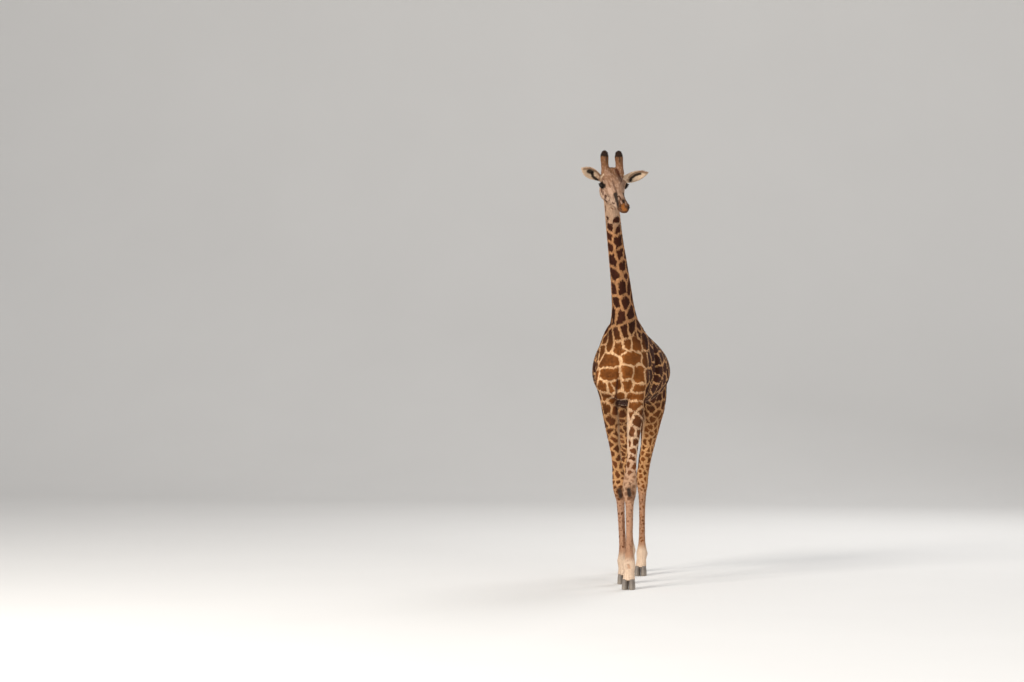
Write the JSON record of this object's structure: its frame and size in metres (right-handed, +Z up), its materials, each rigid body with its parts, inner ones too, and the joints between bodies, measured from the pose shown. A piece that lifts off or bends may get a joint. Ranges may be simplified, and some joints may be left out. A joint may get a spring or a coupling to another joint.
{
  "type": "giraffe",
  "caption": "Life-size still model of a giraffe standing in mid stride, facing the viewer with its head turned a little aside.",
  "frame": {"origin": "middle of the bounding box's footprint, on the floor that the hooves stand on", "axes": "+Z up, the giraffe faces -Y and its left side is +X"},
  "size_m": [0.7956, 2.766, 4.3615],
  "materials": {
    "coat": "short smooth hair with brown patches on tan",
    "horn": "horns covered in short hair with black tufts",
    "ear": "thin hair, pale inside",
    "eye": "wet gloss",
    "hoof": "dull horn",
    "tassel": "long coarse black hair"
  },
  "bodies": {
    "root": {"head": "coat", "neck": "coat", "torso": "coat", "tail": "coat", "tail_tassel": "tassel", "leg_front_left": "coat", "leg_front_right": "coat", "leg_hind_left": "coat", "leg_hind_right": "coat", "hoof_front_left": "hoof", "hoof_front_right": "hoof", "hoof_hind_left": "hoof", "hoof_hind_right": "hoof", "ear_left": "ear", "ear_right": "ear", "eye_left": "eye", "eye_right": "eye", "horn_left": "horn", "horn_right": "horn"}
  },
  "joints": []
}
